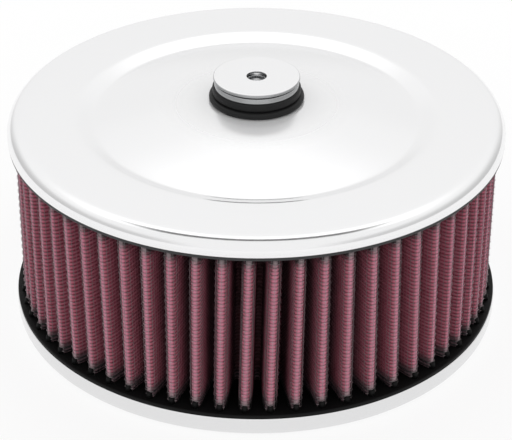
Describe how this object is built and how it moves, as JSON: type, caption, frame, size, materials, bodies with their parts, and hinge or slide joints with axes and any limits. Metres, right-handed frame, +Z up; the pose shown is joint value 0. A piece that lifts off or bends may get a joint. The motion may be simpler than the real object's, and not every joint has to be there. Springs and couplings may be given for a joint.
{
  "type": "carburetor air cleaner",
  "caption": "Round open-element air cleaner: chromed lid and base pan holding a pleated red cotton element between black rubber end rings, with a centre grommet and washers.",
  "frame": {"origin": "centre of the base's flat foot, on the surface that it stands on", "axes": "+Z up along the axis of the cleaner, from the base to the lid; the part is round about it"},
  "size_m": [0.1778, 0.1778, 0.0916],
  "materials": {
    "chrome": "polished chrome plate on pressed steel",
    "black_rubber": "matte moulded rubber",
    "red_cotton": "red dyed cotton gauze",
    "wire_cloth": "woven wire cloth",
    "plain_steel": "zinc-plated turned steel"
  },
  "bodies": {
    "root": {"base_pan": "chrome", "neck_gasket": "black_rubber", "bottom_end_ring": "black_rubber", "inner_screen": "wire_cloth", "cotton_media": "red_cotton", "outer_screen": "wire_cloth", "top_end_ring": "black_rubber", "lid": "chrome", "lid_grommet": "black_rubber", "spacer_sleeve": "plain_steel", "under_washer": "plain_steel", "retainer_washer": "chrome", "cap_washer": "chrome"}
  },
  "joints": []
}
